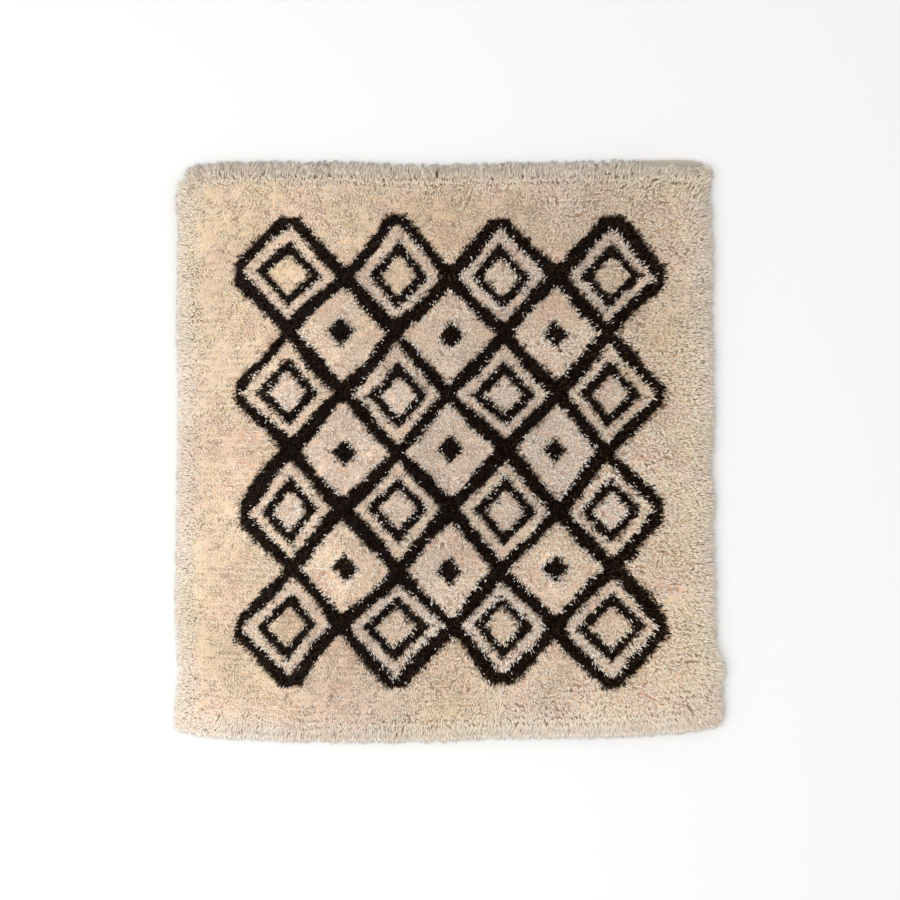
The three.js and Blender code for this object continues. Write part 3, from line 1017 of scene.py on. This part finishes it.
def lay_out_ends(piece, count, parts):
    """Gives each end a cell of its own on the piece's map, its three sides laid out side by side."""
    across = math.ceil(math.sqrt(count))
    cell = np.arange(count)
    corner_of_cell = np.column_stack([cell % across, cell // across])[:, None, :] + CELL_MARGIN
    spots = []
    for part in parts:
        places = np.array([(u, v) for _, u, v in part])
        spots.append((corner_of_cell + (1 - 2 * CELL_MARGIN) * places[None]) / across)
    layer = piece.data.uv_layers.new(name="OFBake")
    layer.data.foreach_set("uv", np.concatenate([s.reshape(-1) for s in spots]).astype(np.float32))


def pile_pieces(name, ends, stages, material):
    """As many pieces as these ends need, from the near end of the rug to the far end."""
    triangles = 6 * (len(stages) - 2)
    total = len(ends["root"])
    shares = math.ceil(total * triangles / TRIANGLES_IN_PIECE)
    order = np.argsort(ends["root"][:, 1], kind="stable")
    for number, chosen in enumerate(np.array_split(order, shares), 1):
        part = {key: values[chosen] for key, values in ends.items()}
        piece = pile_mesh(f"{name}_{number}", part, stages)
        piece.data.materials.append(material)
        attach(piece, "root")


# The cream pile. Undyed wool in two creams, one warm and one greyer, spun from mixed fleeces, so that its
# tone drifts in clouds over the rug and differs a little from one end to the next.
# There are ten ends in a knot, and more where the knots of the last rows spread out over the edge.
ENDS_IN_KNOT = 10
MORE_AT_EDGE = 13
MORE_AT_LEFT = 9
EDGE_REACH = 0.036
# How much single ends differ in warmth, lightness and rose
END_TO_END = (0.10, 0.035, 0.08)
LIGHTNESS_LIMITS = (0.6, 1.2)


def cream_ends(knots, longest=1.0):
    more = MORE_AT_EDGE * np.exp(-((knot_inside[knots] / EDGE_REACH) ** 2))
    more += MORE_AT_LEFT * (-outward(knot_x, knot_y)[0]).clip(0, 1)[knots] * knot_at_side[knots]
    made = ends_of(knots, np.round(ENDS_IN_KNOT + more).astype(int), longest)
    shade = cream_shade(made["root"][:, 0], made["root"][:, 1], knot_cool[made["knot"]])
    count = len(made["knot"])
    warmer, lighter, rosier = END_TO_END
    made["warmth"] = (shade["warmth"] + chance.normal(0, warmer, count)).clip(0, 1)
    made["lightness"] = (shade["lightness"] + chance.normal(0, lighter, count)).clip(*LIGHTNESS_LIMITS)
    made["rosy"] = (shade["rosy"] + chance.normal(0, rosier, count)).clip(0, 1)
    return made


RIM_KNOT_REACH = 0.022
at_rim = knot_inside < RIM_KNOT_REACH
cream_wool = wool("cream_wool", cream, fuzz=0.25, glow=0.5)
field_ends = cream_ends(np.flatnonzero(~knot_dark & ~at_rim))
pile_pieces("cream_pile", field_ends, FIELD_STAGES, cream_wool)

# The rim locks. The knots of the last rows and columns, whose ends have nothing beside them to hold them
# up: they lean right over the edge of the ground and hang down towards the floor, all round the rug.
RIM_LONGEST = 1.5
# Painted shade on the outermost locks, darker and cooler, least at the left, and painted light along the
# near end
RIM_PAINTED_SHADE = 0.10
NEAR_END_PAINTED_SHADE = -0.04
RIM_SHADE_COOLNESS = 0.25
# How much of the painted shade deep in the pile the roots of the side locks lose
RIM_PALE_ROOT = 0.75
PALER_AT_LEFT = 0.8
RIM_DROOP = 0.8
FAR_END_MIXED = 0.20
FAR_END_MIXED_LIMITS = (-2, 1.5)
SIDE_TURNED_UP = -math.pi / 2
SIDE_TURN_UNEVEN = 0.3
LEFT_FROM = 0.7
rim_ends = cream_ends(np.flatnonzero(at_rim), RIM_LONGEST)
# Painted shade on the outermost locks, less at the left, and a little painted light along the near end
outermost = 1 - knot_inside[rim_ends["knot"]] / RIM_KNOT_REACH
to_near_end = (-np.sin(rim_ends["heading"])).clip(0, 1)
rim_painted_shade = RIM_PAINTED_SHADE + (NEAR_END_PAINTED_SHADE - RIM_PAINTED_SHADE) * to_near_end
to_left = (-np.cos(rim_ends["heading"])).clip(0, 1)
rim_painted_shade *= 1 - PALER_AT_LEFT * to_left
rim_ends["lightness"] *= 1 - rim_painted_shade * outermost
rim_shade_coolness = RIM_SHADE_COOLNESS * (1 - to_near_end)
rim_ends["warmth"] = (rim_ends["warmth"] - rim_shade_coolness * outermost).clip(0, 1)
mixed = FAR_END_MIXED * at_far_end(rim_ends["root"][:, 1])
rim_ends["lightness"] *= 1 + mixed * chance.normal(0, 1, len(mixed)).clip(*FAR_END_MIXED_LIMITS)
flat_up = SIDE_TURNED_UP + SIDE_TURN_UNEVEN * chance.normal(0, 1, len(to_left))
rim_ends["roll"] = np.where(to_left > LEFT_FROM, flat_up, rim_ends["roll"])
rim_ends["droop"] = RIM_DROOP * outermost
rim_ends["pale_root"] = RIM_PALE_ROOT * abs(np.cos(rim_ends["heading"])) * (outermost > 0)
pile_pieces("rim_locks", rim_ends, RIM_STAGES, cream_wool)

# The dark figure. The same yarn spun from a dark brown fleece, near black, with a few ends that are
# browner, greener or more purple, tied wherever the chart is dark.
DARK_ENDS_IN_KNOT = 8
DARK_UNEVEN = 0.15
DARK_LIMITS = (0.6, 1.4)
dark_ends = ends_of(np.flatnonzero(knot_dark), DARK_ENDS_IN_KNOT)
dark_ends["warmth"] = chance.uniform(0, 1, len(dark_ends["knot"]))
dark_ends["lightness"] = chance.normal(1, DARK_UNEVEN, len(dark_ends["knot"])).clip(*DARK_LIMITS)
dark_ends["rosy"] = np.zeros(len(dark_ends["knot"]))
dark_wool = wool("dark_wool", dark_brown, fuzz=0, glow=0, shine=0)
pile_pieces("dark_figure", dark_ends, FIELD_STAGES, dark_wool)

# The floor and the light. A plain pale floor, a broad soft light from the near left, and an even pale
# light from all round, as in a bright studio.
FLOOR_SIZE = 40
FLOOR_COLOUR = (0.74, 0.745, 0.75)
KEY_PLACE = (-2.3, -1.1, 2.9)
KEY_SIZE = 3.0
KEY_POWER = 66
KEY_COLOUR = (1.0, 0.97, 0.93)
FLOOR_ROUGHNESS = 0.8
SKY_COLOUR = (1.0, 0.99, 0.975)
SKY_STRENGTH = 1.08

floor = mesh_piece(
    "floor",
    np.array([[-1, -1, 0], [1, -1, 0], [1, 1, 0], [-1, 1, 0]]) * FLOOR_SIZE / 2,
    [np.array([[0, 1, 2, 3]])],
)
floor_material, floor_shader = new_material("floor_paint", roughness=FLOOR_ROUGHNESS)
floor_shader.inputs["Base Color"].default_value = (*FLOOR_COLOUR, 1)
floor.data.materials.append(floor_material)


def soft_light(name, place, size, power, colour):
    lamp = bpy.data.lights.new(name, "AREA")
    lamp.shape = "DISK"
    lamp.size = size
    lamp.energy = power
    lamp.color = colour
    light = bpy.data.objects.new(name, lamp)
    light.location = place
    light.rotation_euler = (-Vector(place)).to_track_quat("-Z", "Y").to_euler()
    bpy.context.scene.collection.objects.link(light)


soft_light("key_light", KEY_PLACE, KEY_SIZE, KEY_POWER, KEY_COLOUR)
sky = bpy.data.worlds.new("studio")
bpy.context.scene.world = sky
sky.use_nodes = True
sky.node_tree.nodes["Background"].inputs["Color"].default_value = (*SKY_COLOUR, 1)
sky.node_tree.nodes["Background"].inputs["Strength"].default_value = SKY_STRENGTH

# The camera. Straight above the rug, at the height of a picture taken from a stepladder, framed so that
# the rug fills the same part of the picture.
CAMERA_HEIGHT = 2.7
PICTURE_PIXELS = 900
METRES_IN_PIXEL = 0.00257
CAMERA_ASIDE = (0.001, 0.004)
TIPS_HEIGHT = 0.008
SENSOR_MM = 36

frame_across = PICTURE_PIXELS * METRES_IN_PIXEL
lens = bpy.data.cameras.new("camera")
lens.sensor_width = SENSOR_MM
lens.lens = SENSOR_MM * (CAMERA_HEIGHT - TIPS_HEIGHT) / frame_across
camera = bpy.data.objects.new("camera", lens)
camera.location = (*CAMERA_ASIDE, CAMERA_HEIGHT)
bpy.context.scene.collection.objects.link(camera)
bpy.context.scene.camera = camera
bpy.context.scene.view_settings.view_transform = "Standard"
